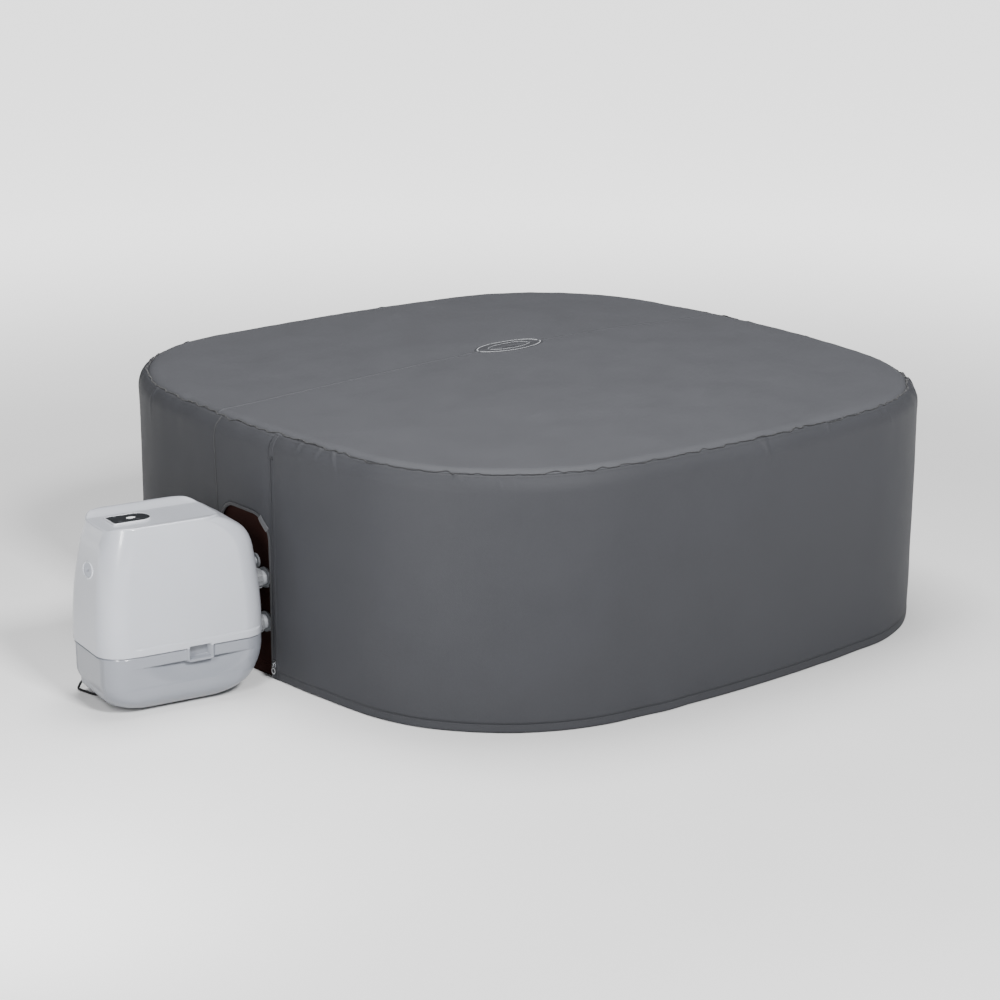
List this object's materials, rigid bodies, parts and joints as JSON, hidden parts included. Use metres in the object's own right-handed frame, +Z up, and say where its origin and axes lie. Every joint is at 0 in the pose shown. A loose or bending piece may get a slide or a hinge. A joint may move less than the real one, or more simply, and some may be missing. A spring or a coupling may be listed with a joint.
{
  "type": "inflatable hot tub",
  "caption": "Rounded-square inflatable hot tub under a fitted zip jacket, with an inflatable lid and a free-standing heater and blower unit coupled to its side.",
  "frame": {"origin": "centre of the tub's plan on the ground", "axes": "+Z up, the pump unit stands on the -X side, the front of the pictured view is the -Y side"},
  "size_m": [2.3505, 1.8676, 0.6832],
  "materials": {
    "cover_fabric": "matt padded leatherette",
    "cover_trim": "matt webbing",
    "badge_print": "satin patch",
    "light_webbing": "matt",
    "zip_coil": "satin",
    "zip_metal": "polished",
    "tub_pvc": "satin laminated sheet",
    "liner_pvc": "satin sheet",
    "lid_pvc": "satin sheet",
    "pipe_plastic": "satin",
    "nut_plastic": "satin",
    "cap_plastic": "satin",
    "seal_rubber": "matt",
    "filter_paper": "pleated",
    "shell_plastic": "satin",
    "base_plastic": "satin",
    "badge_plastic": "satin",
    "panel_plastic": "satin",
    "lens_plastic": "polished",
    "key_plastic": "satin",
    "inner_plastic": "matt",
    "motor_metal": "cast",
    "heater_steel": "brushed",
    "hose_rubber": "matt",
    "board_green": "matt",
    "black_rod": "satin"
  },
  "bodies": {
    "tub": {"tub_outer_wall": "tub_pvc", "tub_floor": "tub_pvc", "tub_top_panel": "tub_pvc", "wall_baffles": "tub_pvc", "tub_inner_wall": "liner_pvc", "air_channel": "liner_pvc", "tub_pipes": "pipe_plastic", "valve_bodies": "pipe_plastic", "outlet_screen": "pipe_plastic", "filter_housing": "pipe_plastic", "pump_stubs": "nut_plastic", "coupling_seals": "seal_rubber", "rubber_feet": "seal_rubber", "cord_gland": "seal_rubber", "filter_cartridge": "filter_paper", "pump_upper_shell": "shell_plastic", "pump_base_shell": "base_plastic", "side_pockets": "base_plastic", "pump_badge": "badge_plastic", "control_panel": "panel_plastic", "display_lens": "lens_plastic", "chassis": "inner_plastic", "pump_volute": "inner_plastic", "blower_housing": "inner_plastic", "air_manifold": "inner_plastic", "water_pump_motor": "motor_metal", "blower_motor": "motor_metal", "heater_tube": "heater_steel", "heater_element": "heater_steel", "water_hoses": "hose_rubber", "control_board": "board_green", "wire_foot": "black_rod"},
    "cover": {"cover_top_front": "cover_fabric", "cover_top_rear": "cover_fabric", "cover_skirt": "cover_fabric", "cover_pump_panel": "cover_fabric", "cover_hem": "cover_fabric", "notch_binding": "cover_trim", "cover_piping": "cover_trim", "zip_tapes": "cover_trim", "cover_badge": "badge_print", "notch_tab": "light_webbing", "zip_chain": "zip_coil"},
    "lid": {"lid_pad": "lid_pvc", "lid_valve": "lid_pvc"},
    "zip_slider": {"zip_slider": "zip_metal"},
    "zip_pull": {"zip_pull": "zip_metal"},
    "water_out_nut": {"water_out_nut": "nut_plastic"},
    "water_in_nut": {"water_in_nut": "nut_plastic"},
    "air_nut": {"air_nut": "nut_plastic"},
    "filter_cap": {"filter_cap": "cap_plastic"},
    "inflation_valve_cap": {"inflation_valve_cap": "cap_plastic"},
    "drain_valve_cap": {"drain_valve_cap": "cap_plastic"},
    "key_1": {"key_1": "key_plastic"},
    "key_2": {"key_2": "key_plastic"},
    "key_3": {"key_3": "key_plastic"},
    "key_4": {"key_4": "key_plastic"},
    "impeller": {"impeller": "inner_plastic"},
    "blower_fan": {"blower_fan": "inner_plastic"}
  },
  "joints": [
    {"name": "cover_lift", "type": "slide", "parent": "tub", "child": "cover", "axis": [0, 0, 1], "range_m": [0, 0.9]},
    {"name": "lid_lift", "type": "slide", "parent": "tub", "child": "lid", "axis": [0, 0, 1], "range_m": [0, 0.45]},
    {"name": "zip_slide", "type": "slide", "parent": "cover", "child": "zip_slider", "axis": [0, 0, 1], "range_m": [0, 0.54]},
    {"name": "zip_pull_swing", "type": "hinge", "parent": "zip_slider", "child": "zip_pull", "pos_m": [-0.93778, -0.116, 0.045], "axis": [0, 1, 0], "range_deg": [0, 160]},
    {"name": "water_out_nut_turn", "type": "hinge", "parent": "tub", "child": "water_out_nut", "pos_m": [-0.95046, -0.06335, 0.265], "axis": [0.9877, -0.1564, 0], "range_deg": [0, 540]},
    {"name": "water_in_nut_turn", "type": "hinge", "parent": "tub", "child": "water_in_nut", "pos_m": [-0.95046, -0.06335, 0.146], "axis": [0.9877, -0.1564, 0], "range_deg": [0, 540]},
    {"name": "air_nut_turn", "type": "hinge", "parent": "tub", "child": "air_nut", "pos_m": [-0.9442, -0.02384, 0.3], "axis": [0.9877, -0.1564, 0], "range_deg": [0, 540]},
    {"name": "filter_cap_turn", "type": "hinge", "parent": "tub", "child": "filter_cap", "pos_m": [-0.57514, -0.12279, 0.146], "axis": [0.9877, -0.1564, 0], "range_deg": [0, 60]},
    {"name": "inflation_valve_cap_turn", "type": "hinge", "parent": "tub", "child": "inflation_valve_cap", "pos_m": [-0.91078, 0.3, 0.54], "axis": [-0.9967, 0.0813, 0], "range_deg": [0, 180]},
    {"name": "drain_valve_cap_turn", "type": "hinge", "parent": "tub", "child": "drain_valve_cap", "pos_m": [-0.9091, -0.32, 0.07], "axis": [-0.9962, -0.0867, 0], "range_deg": [0, 180]},
    {"name": "key_1_press", "type": "slide", "parent": "tub", "child": "key_1", "axis": [0, 0, -1], "range_m": [0, 0.0008], "stiffness_N_per_m": 1500},
    {"name": "key_2_press", "type": "slide", "parent": "tub", "child": "key_2", "axis": [0, 0, -1], "range_m": [0, 0.0008], "stiffness_N_per_m": 1500},
    {"name": "key_3_press", "type": "slide", "parent": "tub", "child": "key_3", "axis": [0, 0, -1], "range_m": [0, 0.0008], "stiffness_N_per_m": 1500},
    {"name": "key_4_press", "type": "slide", "parent": "tub", "child": "key_4", "axis": [0, 0, -1], "range_m": [0, 0.0008], "stiffness_N_per_m": 1500},
    {"name": "impeller_spin", "type": "hinge", "parent": "tub", "child": "impeller", "pos_m": [-1.1875, -0.0258, 0.074], "axis": [0.9877, -0.1564, 0], "continuous": true},
    {"name": "blower_fan_spin", "type": "hinge", "parent": "tub", "child": "blower_fan", "pos_m": [-1.11385, 0.05568, 0.3], "axis": [0.9877, -0.1564, 0], "continuous": true}
  ],
  "couplings": [
    {"joint": "lid_lift", "follows": "cover_lift", "ratio": 0.5}
  ]
}
